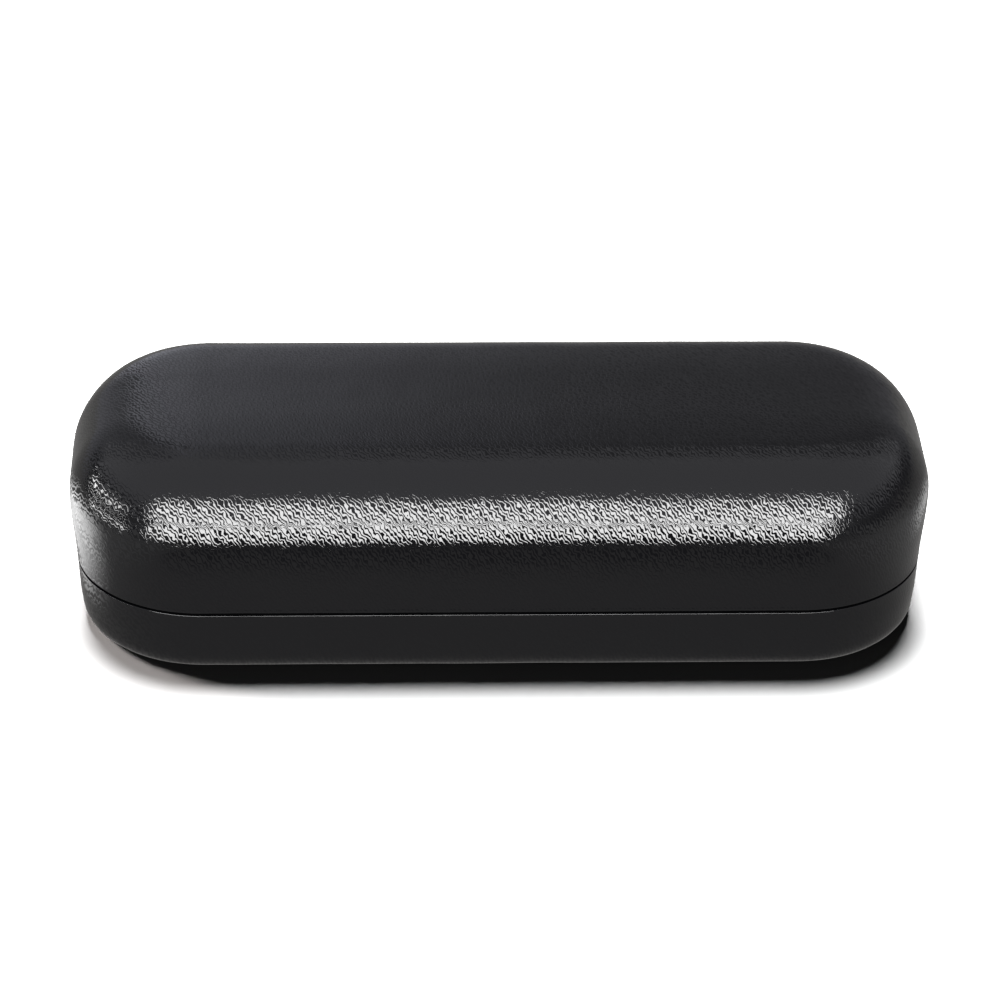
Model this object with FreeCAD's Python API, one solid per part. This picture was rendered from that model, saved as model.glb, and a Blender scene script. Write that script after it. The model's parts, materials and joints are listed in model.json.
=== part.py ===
import FreeCAD, Part

# Clamshell eyeglasses case: two leather-covered pressed steel halves on a sprung rear hinge.
#
# Millimetres. X runs along the length, Y from the front (-Y) to the hinge side (+Y), Z up.
# The origin is the middle of the flat underside.
#
# Both halves are nested skins of one rounded form. A skin is drawn as a cross-section in
# (rho, height): rho is the distance from a corner's vertical axis, and height is measured from
# the parting plane, upwards in the lid and downwards in the base. The section is turned through
# a quarter circle at each corner and carried straight along each side.

import os
from collections import namedtuple
from math import cos, degrees, hypot, pi, radians, sin, sqrt, tan

Vector = FreeCAD.Vector

# Outside form. Length and width are those of the parting line; the lid swells a little above it.
LENGTH = 159.0
WIDTH = 63.0
HEIGHT = 42.7
SEAM_Z = 13.05
CORNER_R = 24.5
SEAM_GAP = 0.5
RIM_R = 0.4

# Material thicknesses, and the film of glue between two skins
LEATHER_T = 0.9
PADDING_T = 0.8
SHELL_T = 0.4
BASE_TRAY_T = 0.6
LID_TRAY_T = 0.5
VELVET_T = 0.6
LIP_VELVET_T = 0.45
GLUE = 0.05

# Skins, as insets from the outside face
PADDING_IN = LEATHER_T + GLUE
SHELL_IN = PADDING_IN + PADDING_T + GLUE
FLAP_IN = SHELL_IN + SHELL_T + GLUE
FLAP_T = 0.65
LID_TRAY_IN = 3.4
LID_VELVET_IN = LID_TRAY_IN + LID_TRAY_T + GLUE
BASE_TRAY_IN = 5.4
BASE_VELVET_IN = BASE_TRAY_IN + BASE_TRAY_T + GLUE
LIP_VELVET_IN = BASE_TRAY_IN - GLUE - LIP_VELVET_T

# Heights from the parting plane
RIM = SEAM_GAP / 2
VELVET_RIM = RIM + 0.1
VELVET_FOOT_T = 0.25
LIP_HEIGHT = 2.5
FLANGE = 0.75
FLANGE_T = 0.5
LID_FLAP = 7.0
BASE_FLAP = 5.0
TRAY_FLOOR_R = 9.3

# Hinge: one pin, sheet steel leaves with rolled knuckles, two torsion springs
PIN_R = 1.2
PIN_HEAD_R = 1.85
PIN_HEAD_T = 0.6
PIN_HEAD_EDGE_R = 0.42
RUNNING_GAP = 0.05
LEAF_T = 0.7
LEAF_HOLE_GAP = 0.05
KNUCKLE_IN_R = PIN_R + RUNNING_GAP
KNUCKLE_OUT_R = KNUCKLE_IN_R + LEAF_T
HINGE_OUT = 0.3
KNUCKLE_GAP = 0.1
SEGMENTS = (
    ("lower", 8.0),
    ("upper", 5.5),
    ("spring", 10.0),
    ("lower", 9.0),
    ("spring", 10.0),
    ("upper", 5.5),
    ("lower", 8.0),
)
HINGE_WIDTH = sum(width for _, width in SEGMENTS)
NECK_RISE = 0.9
PLATE_START = 2.9
TAB_START = 1.2
LID_PLATE_END = 11.0
BASE_PLATE_END = 8.6
PLATE_CORNER_R = 1.2
WINDOW_HALF_HEIGHT = 3.2
WINDOW_SIDE_GAP = 1.2
WINDOW_R = 1.2
LIP_BREAK = 33.0

WIRE_R = 0.4
COIL_R = KNUCKLE_IN_R + RUNNING_GAP + WIRE_R
COIL_TURNS = 10
LEG_LEAN = radians(6.5)
LEG_LENGTH = 3.1

RIVET_R = 1.0
RIVET_HEAD_R = 2.0
RIVET_TAIL_R = 1.7
RIVET_TAIL_T = 0.35
RIVET_XS = (-22.0, 0.0, 22.0)
LID_RIVET = 7.2
BASE_RIVET = 6.3

GUSSET_T = 0.7
GUSSET_HALF_WIDTH = 31.0
GUSSET_GAP = 0.1
GUSSET_LID_END = 7.0
GUSSET_BASE_END = 4.4
GUSSET_BEND_LOW = 0.3
GUSSET_BEND_HIGH = 2.8
GUSSET_MITRE = 0.2

# up is +1 where height runs upwards. A crown radius of None is a flat end.
Half = namedtuple("Half", "up depth draft shoulder_r crown_r")
LID = Half(up=1, depth=HEIGHT - SEAM_Z, draft=radians(-2.2), shoulder_r=15.0, crown_r=120.0)
BASE = Half(up=-1, depth=SEAM_Z, draft=radians(5.0), shoulder_r=4.2, crown_r=None)
TRAY = BASE._replace(shoulder_r=TRAY_FLOOR_R)

CORNER_X = LENGTH / 2 - CORNER_R
CORNER_Y = WIDTH / 2 - CORNER_R
CORNERS = (
    (CORNER_X, CORNER_Y),
    (-CORNER_X, CORNER_Y),
    (-CORNER_X, -CORNER_Y),
    (CORNER_X, -CORNER_Y),
)
BARREL_RHO = CORNER_R + HINGE_OUT
WINDOW_HALF_WIDTH = HINGE_WIDTH / 2 + PIN_HEAD_T + WINDOW_SIDE_GAP

# Two lengths closer than this are taken as equal
MATCH = 0.01


# Cross-sections


def place(half, spot):
    """A (rho, height) spot in the XZ plane."""
    return Vector(spot[0], 0, SEAM_Z + half.up * spot[1])


def wall(half, inset, height):
    """The spot at an inset from the outside wall; above or below the rim the wall is upright."""
    lean = max(height, 0.0) * tan(half.draft)
    return (CORNER_R - lean - inset / cos(half.draft), height)


def line(half, start, end):
    return Part.makeLine(place(half, start), place(half, end))


def arc(half, start, middle, end):
    return Part.Arc(place(half, start), place(half, middle), place(half, end)).toShape()


def chain(half, *spots):
    """Straight edges from spot to spot."""
    return [line(half, a, b) for a, b in zip(spots, spots[1:])]


def unit(x, z):
    size = hypot(x, z)
    return (x / size, z / size)


def from_centre(centre, direction, distance):
    return (centre[0] + direction[0] * distance, centre[1] + direction[1] * distance)


def shoulder_centre(half):
    """The centre that every skin's shoulder arc shares."""
    draft, radius = half.draft, half.shoulder_r
    if half.crown_r is None:
        rise = (half.depth - radius + radius * sin(draft)) / cos(draft)
    else:
        start = (CORNER_R - radius * cos(draft), half.crown_r - half.depth - radius * sin(draft))
        along = start[1] * cos(draft) - start[0] * sin(draft)
        reach = half.crown_r - radius
        rise = -along + sqrt(along**2 - start[0] ** 2 - start[1] ** 2 + reach**2)
    return (
        CORNER_R - rise * sin(draft) - radius * cos(draft),
        rise * cos(draft) - radius * sin(draft),
    )


def skin(half, inset, start):
    """Edges of one skin face, from its wall at the start height, over the shoulder, to rho = 0."""
    centre = shoulder_centre(half)
    radius = half.shoulder_r - inset
    outward = (cos(half.draft), sin(half.draft))
    crown_centre = (0.0, half.depth - (half.crown_r or 0.0))
    towards = unit(centre[0], centre[1] - crown_centre[1]) if half.crown_r else (0.0, 1.0)
    between = unit(outward[0] + towards[0], outward[1] + towards[1])
    wall_end = from_centre(centre, outward, radius)
    shoulder_end = from_centre(centre, towards, radius)
    top = (0.0, half.depth - inset)
    edges = chain(half, wall(half, inset, start), wall_end)
    edges.append(arc(half, wall_end, from_centre(centre, between, radius), shoulder_end))
    if half.crown_r:
        halfway = unit(towards[0], 1.0 + towards[1])
        middle = from_centre(crown_centre, halfway, half.crown_r - inset)
        edges.append(arc(half, shoulder_end, middle, top))
    else:
        edges += chain(half, shoulder_end, top)
    return edges


def section(edges):
    return Part.Face(Part.Wire(Part.__sortEdges__(edges)))


def layer_section(half, outer, inner, start):
    """The section between two skins, cut off square at the start height."""
    edges = skin(half, outer, start) + skin(half, inner, start)
    edges += chain(half, wall(half, outer, start), wall(half, inner, start))
    edges += chain(half, (0.0, half.depth - outer), (0.0, half.depth - inner))
    return section(edges)


def rounded_corner(half, before, corner, after):
    """The tangent points of a rim corner's rounding and the arc between them."""
    one = unit(before[0] - corner[0], before[1] - corner[1])
    two = unit(after[0] - corner[0], after[1] - corner[1])
    bisector = unit(one[0] + two[0], one[1] + two[1])
    cosine = one[0] * bisector[0] + one[1] * bisector[1]
    sine = sqrt(1 - cosine**2)
    start = from_centre(corner, one, RIM_R * cosine / sine)
    end = from_centre(corner, two, RIM_R * cosine / sine)
    middle = from_centre(corner, bisector, RIM_R / sine - RIM_R)
    return start, end, arc(half, start, middle, end)


def cover_section(half, flap_end):
    """Leather round the outside, folded over the shell's rim and glued down inside."""
    flap_out = FLAP_IN + FLAP_T
    fold = RIM + LEATHER_T
    outer_wall = wall(half, 0.0, flap_end)
    outer_corner = wall(half, 0.0, RIM)
    inner_corner = wall(half, flap_out, RIM)
    inner_wall = wall(half, flap_out, flap_end)
    outer_start, outer_end, outer_arc = rounded_corner(half, outer_wall, outer_corner, inner_corner)
    inner_start, inner_end, inner_arc = rounded_corner(half, outer_corner, inner_corner, inner_wall)
    edges = skin(half, 0.0, outer_start[1])
    edges += [outer_arc, inner_arc]
    edges += chain(half, outer_end, inner_start)
    edges += chain(
        half,
        inner_end,
        inner_wall,
        wall(half, FLAP_IN, flap_end),
        wall(half, FLAP_IN, fold),
        wall(half, LEATHER_T, fold),
    )
    edges += skin(half, LEATHER_T, fold)
    edges += chain(half, (0.0, half.depth), (0.0, half.depth - LEATHER_T))
    return section(edges)


def lid_velvet_section():
    """Velvet over the lid tray, turned out under its rim to the leather."""
    inner = LID_VELVET_IN + VELVET_T
    foot_top = VELVET_RIM + VELVET_FOOT_T
    foot_out = FLAP_IN + FLAP_T + GLUE
    edges = skin(LID, LID_VELVET_IN, foot_top) + skin(LID, inner, VELVET_RIM)
    edges += chain(
        LID,
        wall(LID, LID_VELVET_IN, foot_top),
        wall(LID, foot_out, foot_top),
        wall(LID, foot_out, VELVET_RIM),
        wall(LID, inner, VELVET_RIM),
    )
    edges += chain(LID, (0.0, LID.depth - LID_VELVET_IN), (0.0, LID.depth - inner))
    return section(edges)


def base_foam_section():
    """Foam between shell and tray, stepped round the turned-in leather."""
    outer = FLAP_IN + FLAP_T + GLUE
    inner = BASE_TRAY_IN - GLUE
    top = FLANGE + FLANGE_T + GLUE
    step = BASE_FLAP + GLUE
    edges = skin(BASE, FLAP_IN, step) + skin(TRAY, inner, top)
    edges += chain(
        BASE,
        wall(BASE, FLAP_IN, step),
        wall(BASE, outer, step),
        wall(BASE, outer, top),
        wall(BASE, inner, top),
    )
    edges += chain(BASE, (0.0, BASE.depth - FLAP_IN), (0.0, BASE.depth - inner))
    return section(edges)


def base_tray_section():
    """Moulded tray: floor, wall, an upright locating lip and a flange over the foam."""
    inner = BASE_TRAY_IN + BASE_TRAY_T
    flange_out = FLAP_IN + FLAP_T + GLUE
    edges = skin(TRAY, BASE_TRAY_IN, FLANGE + FLANGE_T) + skin(TRAY, inner, 0.0)
    edges += chain(
        TRAY,
        wall(TRAY, BASE_TRAY_IN, FLANGE + FLANGE_T),
        wall(TRAY, flange_out, FLANGE + FLANGE_T),
        wall(TRAY, flange_out, FLANGE),
        wall(TRAY, BASE_TRAY_IN, FLANGE),
        wall(TRAY, BASE_TRAY_IN, 0.0),
        wall(TRAY, BASE_TRAY_IN, -LIP_HEIGHT),
        wall(TRAY, inner, -LIP_HEIGHT),
        wall(TRAY, inner, 0.0),
    )
    edges += chain(TRAY, (0.0, TRAY.depth - BASE_TRAY_IN), (0.0, TRAY.depth - inner))
    return section(edges)


def base_velvet_section():
    """Velvet inside the tray, over its lip and out across its flange to the leather."""
    inner = BASE_VELVET_IN + VELVET_T
    foot_out = FLAP_IN + FLAP_T + GLUE
    lip_inner = BASE_TRAY_IN - GLUE
    foot = FLANGE - GLUE
    lip_top = -LIP_HEIGHT - GLUE
    edges = skin(TRAY, BASE_VELVET_IN, 0.0) + skin(TRAY, inner, 0.0)
    edges += chain(
        TRAY,
        wall(TRAY, BASE_VELVET_IN, 0.0),
        wall(TRAY, BASE_VELVET_IN, lip_top),
        wall(TRAY, lip_inner, lip_top),
        wall(TRAY, lip_inner, 0.0),
        wall(TRAY, lip_inner, foot),
        wall(TRAY, foot_out, foot),
        wall(TRAY, foot_out, VELVET_RIM),
        wall(TRAY, LIP_VELVET_IN, VELVET_RIM),
        wall(TRAY, LIP_VELVET_IN, 0.0),
        wall(TRAY, LIP_VELVET_IN, lip_top - LIP_VELVET_T),
        wall(TRAY, inner, lip_top - LIP_VELVET_T),
        wall(TRAY, inner, 0.0),
    )
    edges += chain(TRAY, (0.0, TRAY.depth - BASE_VELVET_IN), (0.0, TRAY.depth - inner))
    return section(edges)


# Solids


def carry_round(face, half, outer, inner):
    """Turns a section at the four corners, carries it along the sides and fills the flat middle."""
    pieces = []
    for turn, (x, y) in enumerate(CORNERS):
        before_x, before_y = CORNERS[turn - 1]
        turned = face.copy()
        turned.rotate(Vector(0, 0, 0), Vector(0, 0, 1), 90 * turn)
        corner = turned.revolve(Vector(0, 0, 0), Vector(0, 0, 1), 90)
        corner.translate(Vector(x, y, 0))
        turned.translate(Vector(before_x, before_y, 0))
        pieces += [corner, turned.extrude(Vector(x - before_x, y - before_y, 0))]
    low, high = sorted(SEAM_Z + half.up * (half.depth - inset) for inset in (outer, inner))
    corner = Vector(-CORNER_X, -CORNER_Y, low)
    middle = Part.makeBox(2 * CORNER_X, 2 * CORNER_Y, high - low, corner)
    return middle.multiFuse(pieces).removeSplitter()


def rear_prism(half, spots, x_start, x_end):
    """A (rho, height) outline on the rear wall, extruded along X."""
    corners = [Vector(x_start, CORNER_Y + rho, SEAM_Z + half.up * height) for rho, height in spots]
    face = Part.Face(Part.makePolygon(corners + corners[:1]))
    return face.extrude(Vector(x_end - x_start, 0, 0))


def rear_slab(half, outer, inner, start, end, half_width):
    """A flat slab lying parallel to the rear wall, between two insets and two heights."""
    spots = (
        wall(half, outer, start),
        wall(half, inner, start),
        wall(half, inner, end),
        wall(half, outer, end),
    )
    return rear_prism(half, spots, -half_width, half_width)


def rear_rod(half, x, height, radius, outer, inner):
    """A rod square to the rear wall, from one inset to another, on the axis that leaves at height."""
    rho, up = wall(half, 0.0, height)
    direction = Vector(0, -cos(half.draft), -half.up * sin(half.draft))
    start = Vector(x, CORNER_Y + rho, SEAM_Z + half.up * up) + direction * outer
    return Part.makeCylinder(radius, inner - outer, start, direction)


def hinge_rod(radius, x_start, x_end):
    centre = Vector(x_start, CORNER_Y + BARREL_RHO, SEAM_Z)
    return Part.makeCylinder(radius, x_end - x_start, centre, Vector(1, 0, 0))


def hinge_window(grow):
    """The opening in both rear rims that the hinge barrel stands in, grown all round."""
    half_width = WINDOW_HALF_WIDTH + grow
    half_height = WINDOW_HALF_HEIGHT + grow
    depth = FLAP_IN + FLAP_T + 2 * GLUE
    corner = Vector(-half_width, WIDTH / 2 - depth, SEAM_Z - half_height)
    box = Part.makeBox(2 * half_width, 2 * depth, 2 * half_height, corner)
    along_y = [e for e in box.Edges if abs(e.Length - 2 * depth) < MATCH]
    return box.makeFillet(WINDOW_R + grow, along_y)


def window_fold(half):
    """Leather turned in over the edge of the window, through the shell's own larger opening."""
    height = WINDOW_HALF_HEIGHT + LEATHER_T
    band = rear_slab(half, LEATHER_T, FLAP_IN, RIM, height, WINDOW_HALF_WIDTH + LEATHER_T)
    return band.common(hinge_window(LEATHER_T)).cut(hinge_window(0.0))


def rivet_rods(half, height, radius, outer, inner):
    return [rear_rod(half, x, height, radius, outer, inner) for x in RIVET_XS]


def cover(half, flap_end):
    whole = carry_round(cover_section(half, flap_end), half, 0.0, LEATHER_T)
    outer, inner = FLAP_IN - GLUE, FLAP_IN + FLAP_T + GLUE
    leaf_room = rear_slab(half, outer, inner, 0.0, flap_end + GLUE, HINGE_WIDTH / 2 + GLUE)
    folded = whole.cut(hinge_window(0.0)).fuse(window_fold(half))
    return folded.cut(leaf_room).removeSplitter()


def padding(half, rivet):
    face = layer_section(half, PADDING_IN, PADDING_IN + PADDING_T, RIM + LEATHER_T + GLUE)
    whole = carry_round(face, half, PADDING_IN, PADDING_IN + PADDING_T)
    heads = rivet_rods(half, rivet, RIVET_HEAD_R + GLUE, 0.0, SHELL_IN)
    return whole.cut([hinge_window(LEATHER_T + GLUE), *heads])


def shell(half, rivet):
    face = layer_section(half, SHELL_IN, SHELL_IN + SHELL_T, RIM + LEATHER_T + GLUE)
    whole = carry_round(face, half, SHELL_IN, SHELL_IN + SHELL_T)
    holes = rivet_rods(half, rivet, RIVET_R + LEAF_HOLE_GAP, 0.0, BASE_TRAY_IN)
    return whole.cut([hinge_window(LEATHER_T + GLUE), *holes])


def base_foam():
    whole = carry_round(base_foam_section(), BASE, FLAP_IN, BASE_TRAY_IN - GLUE)
    inner = FLAP_IN + LEAF_T + RIVET_TAIL_T + 2 * GLUE
    return whole.cut(rear_slab(BASE, 0.0, inner, 0.0, BASE_PLATE_END + GLUE, HINGE_WIDTH / 2 + GLUE))


def lip_break():
    """The rear stretch where the locating lip stops, so that the hinge strip can pass."""
    depth = 2 * BASE_TRAY_IN
    corner = Vector(-LIP_BREAK, WIDTH / 2 - depth, SEAM_Z - RIM)
    return Part.makeBox(2 * LIP_BREAK, depth, 2 * LIP_HEIGHT, corner)


def base_tray():
    whole = carry_round(base_tray_section(), TRAY, BASE_TRAY_IN, BASE_TRAY_IN + BASE_TRAY_T)
    return whole.cut(lip_break())


def base_lining():
    inner = BASE_VELVET_IN + VELVET_T
    whole = carry_round(base_velvet_section(), TRAY, BASE_VELVET_IN, inner)
    return whole.cut(lip_break())


def lid_crown_pad():
    """Foam sheet under the crown only, between shell and tray."""
    outer, inner = FLAP_IN, LID_TRAY_IN - GLUE
    reach = shoulder_centre(LID)[0]
    face = layer_section(LID, outer, inner, RIM + LID_FLAP)
    under_crown = chain(LID, (0.0, 0.0), (reach, 0.0), (reach, LID.depth), (0.0, LID.depth), (0.0, 0.0))
    return carry_round(face.common(section(under_crown)).Faces[0], LID, outer, inner)


def lid_tray():
    inner = LID_VELVET_IN - GLUE
    face = layer_section(LID, LID_TRAY_IN, inner, VELVET_RIM + VELVET_FOOT_T + GLUE)
    return carry_round(face, LID, LID_TRAY_IN, inner)


def lid_lining():
    return carry_round(lid_velvet_section(), LID, LID_VELVET_IN, LID_VELVET_IN + VELVET_T)


def segment_spans(kind):
    """The X spans of one kind of hinge segment."""
    spans = []
    x = -HINGE_WIDTH / 2
    for name, width in SEGMENTS:
        if name == kind:
            spans.append((x + KNUCKLE_GAP, x + width - KNUCKLE_GAP))
        x += width
    return spans


def leaf(half, kind, plate_end, rivet):
    """Plate inside the shell, necks out through the window and knuckles rolled round the pin."""
    inner = FLAP_IN + LEAF_T
    half_width = HINGE_WIDTH / 2 - KNUCKLE_GAP
    plate = rear_slab(half, FLAP_IN, inner, PLATE_START, plate_end, half_width)
    thickness = LEAF_T / cos(half.draft)
    far_edges = [e for e in plate.Edges if half.up * (e.CenterOfMass.z - SEAM_Z) > plate_end - MATCH]
    corners = [e for e in far_edges if abs(e.Length - thickness) < MATCH]
    pieces = []
    for x_start, x_end in segment_spans(kind):
        neck = (
            (BARREL_RHO - KNUCKLE_OUT_R, 0.0),
            (BARREL_RHO - KNUCKLE_OUT_R, NECK_RISE),
            wall(half, inner, PLATE_START),
            wall(half, FLAP_IN, PLATE_START),
            (BARREL_RHO - KNUCKLE_IN_R, NECK_RISE),
            (BARREL_RHO - KNUCKLE_IN_R, 0.0),
        )
        pieces.append(rear_prism(half, neck, x_start, x_end))
        pieces.append(hinge_rod(KNUCKLE_OUT_R, x_start, x_end))
    for x_start, x_end in segment_spans("spring"):
        tab = (
            wall(half, FLAP_IN, TAB_START),
            wall(half, inner, TAB_START),
            wall(half, inner, PLATE_START),
            wall(half, FLAP_IN, PLATE_START),
        )
        pieces.append(rear_prism(half, tab, x_start, x_end))
    whole = plate.makeFillet(PLATE_CORNER_R, corners).multiFuse(pieces).removeSplitter()
    bore = hinge_rod(KNUCKLE_IN_R, -HINGE_WIDTH, HINGE_WIDTH)
    holes = rivet_rods(half, rivet, RIVET_R + LEAF_HOLE_GAP, 0.0, BASE_TRAY_IN)
    return whole.cut([bore, *holes])


def rivets(half, height):
    """Three rivets: flat heads under the leather, tails set over inside the leaf."""
    tail_in = FLAP_IN + LEAF_T + GLUE / 2
    group = []
    for x in RIVET_XS:
        head = rear_rod(half, x, height, RIVET_HEAD_R, PADDING_IN, SHELL_IN - GLUE / 2)
        shank = rear_rod(half, x, height, RIVET_R, PADDING_IN, tail_in + RIVET_TAIL_T)
        tail = rear_rod(half, x, height, RIVET_TAIL_R, tail_in, tail_in + RIVET_TAIL_T - 2 * GLUE)
        group.append(head.multiFuse([shank, tail]).removeSplitter())
    return Part.makeCompound(group)


def hinge_pin():
    """Pin with a head formed at each end; it stays with the base."""
    end = HINGE_WIDTH / 2 + PIN_HEAD_T
    shank = hinge_rod(PIN_R, -end, end)
    heads = [hinge_rod(PIN_HEAD_R, HINGE_WIDTH / 2, end), hinge_rod(PIN_HEAD_R, -end, -HINGE_WIDTH / 2)]
    whole = shank.multiFuse(heads).removeSplitter()
    ends = [e for e in whole.Edges if abs(e.CenterOfMass.x) > end - MATCH]
    rims = [e for e in ends if abs(e.Length - 2 * pi * PIN_HEAD_R) < MATCH]
    return whole.makeFillet(PIN_HEAD_EDGE_R, rims)


def spring(x_start, x_end):
    """Torsion spring round the pin. Its straight legs bear on the tabs of the two leaves."""
    turns = COIL_TURNS - LEG_LEAN / pi
    length = x_end - x_start - 2 * WIRE_R
    coil = Part.makeHelix(length / turns, length, COIL_R, 0, True)
    coil.rotate(Vector(0, 0, 0), Vector(0, 1, 0), 90)
    coil.rotate(Vector(0, 0, 0), Vector(1, 0, 0), -90 - degrees(LEG_LEAN))
    coil.translate(Vector(x_start + WIRE_R, CORNER_Y + BARREL_RHO, SEAM_Z))
    edge = coil.Edges[0]
    first, last = edge.valueAt(edge.FirstParameter), edge.valueAt(edge.LastParameter)
    first_way = edge.tangentAt(edge.FirstParameter)
    last_way = edge.tangentAt(edge.LastParameter)
    foot = first - first_way * LEG_LENGTH
    hand = last + last_way * LEG_LENGTH
    path = Part.Wire([Part.makeLine(foot, first), edge, Part.makeLine(last, hand)])
    wire = Part.Wire(Part.makeCircle(WIRE_R, foot, first_way))
    return path.makePipeShell([wire], True, True)


def hinge_springs():
    """Two springs of opposite hand."""
    x_start, x_end = segment_spans("spring")[1]
    right = spring(x_start, x_end)
    return right.mirror(Vector(0, 0, 0), Vector(1, 0, 0)), right


def hinge_gusset():
    """Velvet-faced strip over the hinge, from the base lining to the lid lining."""
    base_out = BASE_VELVET_IN + VELVET_T + GUSSET_GAP
    lid_out = LID_VELVET_IN + VELVET_T + GUSSET_GAP

    def low(inset, height):
        rho, down = wall(BASE, inset, height)
        return Vector(-GUSSET_HALF_WIDTH, CORNER_Y + rho, SEAM_Z - down)

    def high(inset, height):
        rho, up = wall(LID, inset, height)
        return Vector(-GUSSET_HALF_WIDTH, CORNER_Y + rho, SEAM_Z + up)

    outline = [
        low(base_out, GUSSET_BASE_END),
        low(base_out, GUSSET_BEND_LOW),
        high(lid_out, GUSSET_BEND_HIGH),
        high(lid_out, GUSSET_LID_END),
        high(lid_out + GUSSET_T, GUSSET_LID_END),
        high(lid_out + GUSSET_T, GUSSET_BEND_HIGH - GUSSET_MITRE),
        low(base_out + GUSSET_T, GUSSET_BEND_LOW - GUSSET_MITRE),
        low(base_out + GUSSET_T, GUSSET_BASE_END),
    ]
    face = Part.Face(Part.makePolygon(outline + outline[:1]))
    return face.extrude(Vector(2 * GUSSET_HALF_WIDTH, 0, 0))


def main():
    spring_left, spring_right = hinge_springs()
    nodes = {
        "base_cover": cover(BASE, BASE_FLAP),
        "base_padding": padding(BASE, BASE_RIVET),
        "base_shell": shell(BASE, BASE_RIVET),
        "base_foam": base_foam(),
        "base_tray": base_tray(),
        "base_lining": base_lining(),
        "lid_cover": cover(LID, LID_FLAP),
        "lid_padding": padding(LID, LID_RIVET),
        "lid_shell": shell(LID, LID_RIVET),
        "lid_crown_pad": lid_crown_pad(),
        "lid_tray": lid_tray(),
        "lid_lining": lid_lining(),
        "hinge_leaf_lower": leaf(BASE, "lower", BASE_PLATE_END, BASE_RIVET),
        "hinge_leaf_upper": leaf(LID, "upper", LID_PLATE_END, LID_RIVET),
        "hinge_rivets_lower": rivets(BASE, BASE_RIVET),
        "hinge_rivets_upper": rivets(LID, LID_RIVET),
        "hinge_pin": hinge_pin(),
        "hinge_spring_left": spring_left,
        "hinge_spring_right": spring_right,
        "hinge_gusset": hinge_gusset(),
    }
    os.makedirs("parts", exist_ok=True)
    for name, shape in nodes.items():
        shape.exportStep(f"parts/{name}.step")


main()
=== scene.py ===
import json
import math
from collections import namedtuple

import bmesh
import bpy
from mathutils import Matrix, Vector, noise

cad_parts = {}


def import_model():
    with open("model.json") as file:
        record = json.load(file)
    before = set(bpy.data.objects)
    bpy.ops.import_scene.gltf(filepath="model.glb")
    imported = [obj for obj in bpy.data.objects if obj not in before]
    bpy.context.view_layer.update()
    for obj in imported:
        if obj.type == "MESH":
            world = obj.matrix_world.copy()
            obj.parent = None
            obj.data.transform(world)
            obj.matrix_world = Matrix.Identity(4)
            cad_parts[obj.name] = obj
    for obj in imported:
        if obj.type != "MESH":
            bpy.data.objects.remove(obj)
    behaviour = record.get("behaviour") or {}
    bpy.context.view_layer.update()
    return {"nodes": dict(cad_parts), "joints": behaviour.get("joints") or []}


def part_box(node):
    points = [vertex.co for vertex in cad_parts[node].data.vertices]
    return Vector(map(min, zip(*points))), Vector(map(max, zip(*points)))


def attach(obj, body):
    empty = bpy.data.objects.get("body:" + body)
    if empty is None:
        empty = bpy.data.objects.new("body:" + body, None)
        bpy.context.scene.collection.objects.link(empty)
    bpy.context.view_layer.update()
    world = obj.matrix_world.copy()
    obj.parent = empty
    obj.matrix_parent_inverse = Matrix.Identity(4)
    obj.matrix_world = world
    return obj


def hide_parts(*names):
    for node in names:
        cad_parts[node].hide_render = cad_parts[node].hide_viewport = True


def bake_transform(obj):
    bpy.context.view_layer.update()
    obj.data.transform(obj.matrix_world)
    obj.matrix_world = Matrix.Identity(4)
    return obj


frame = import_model()

MM = 0.001


# The case's form in millimetres; heights come from the frame

lid_low, lid_high = (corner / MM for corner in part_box("lid_cover"))
base_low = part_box("base_cover")[0] / MM
HINGE = Vector(frame["joints"][0]["pos_m"]) / MM

# Length and width at the parting line; the lid swells a little above it
LENGTH = 159.0
WIDTH = 63.0
SEAM_Z = HINGE.z
LID_DEPTH = lid_high.z - SEAM_Z
BASE_DEPTH = SEAM_Z - base_low.z
CORNER_R = 24.5
CORNER_X = LENGTH / 2 - CORNER_R
CORNER_Y = WIDTH / 2 - CORNER_R
RIM = lid_low.z - SEAM_Z

# Walls lean by a draft angle in degrees; shoulders and crown are arcs
LID_DRAFT = -2.2
LID_SHOULDER_R = 15.0
LID_CROWN_R = 120.0
BASE_DRAFT = 5.0
BASE_SHOULDER_R = 4.2
TRAY_SHOULDER_R = 9.3

# Skins, as insets from the outside face
LEATHER_T = 0.9
FLAP_IN = 2.25
FLAP_T = 0.65
FLAP_OUT = FLAP_IN + FLAP_T
PADDING = (0.95, 1.75)
CROWN_PAD_IN = 3.35
BASE_TRAY_IN = 5.4
LID_VELVET = (3.95, 4.55)
BASE_VELVET = (6.05, 6.65)
LIP_VELVET = (4.9, 5.35)
GLUE = 0.05

# The turned-in leather: how far up the inside it reaches
LID_FLAP = 7.0
BASE_FLAP = 5.0
RIM_R = 0.4
FLAP_STUB = 0.1
FLAP_SLOPE = 0.02

# Velvet at the rims, as heights from the seam
VELVET_RIM = 0.35
FOOT_T = 0.25
LID_VELVET_TURN = 2.0
LID_VELVET_R = 0.5
BASE_VELVET_TURN = 1.5
BASE_FOOT = 0.7
LIP_TOP = 3.0
LIP_R = 0.42
LIP_BREAK = 33.0
LIP_RUN_OUT = 3.0
LIP_VELVET_T = 0.45

# Foam between base shell and tray, as heights from the seam
BASE_FOAM_TOP = 1.3
BASE_FOAM_STEP = 5.05

# The hinge window in the rear rims
WINDOW_HALF_WIDTH = 29.8
WINDOW_HEIGHT = 3.2
WINDOW_R = 1.2
ABOVE_WINDOW = WINDOW_HEIGHT + LEATHER_T + 0.6

# Spacing of mesh points
SIDE_STEP = 1.1
CORNER_STEPS = 34
LEATHER_STEP = 0.9
VELVET_STEP = 1.0
PAD_STEP = 1.6
HIDDEN_STEP = 2.4

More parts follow.
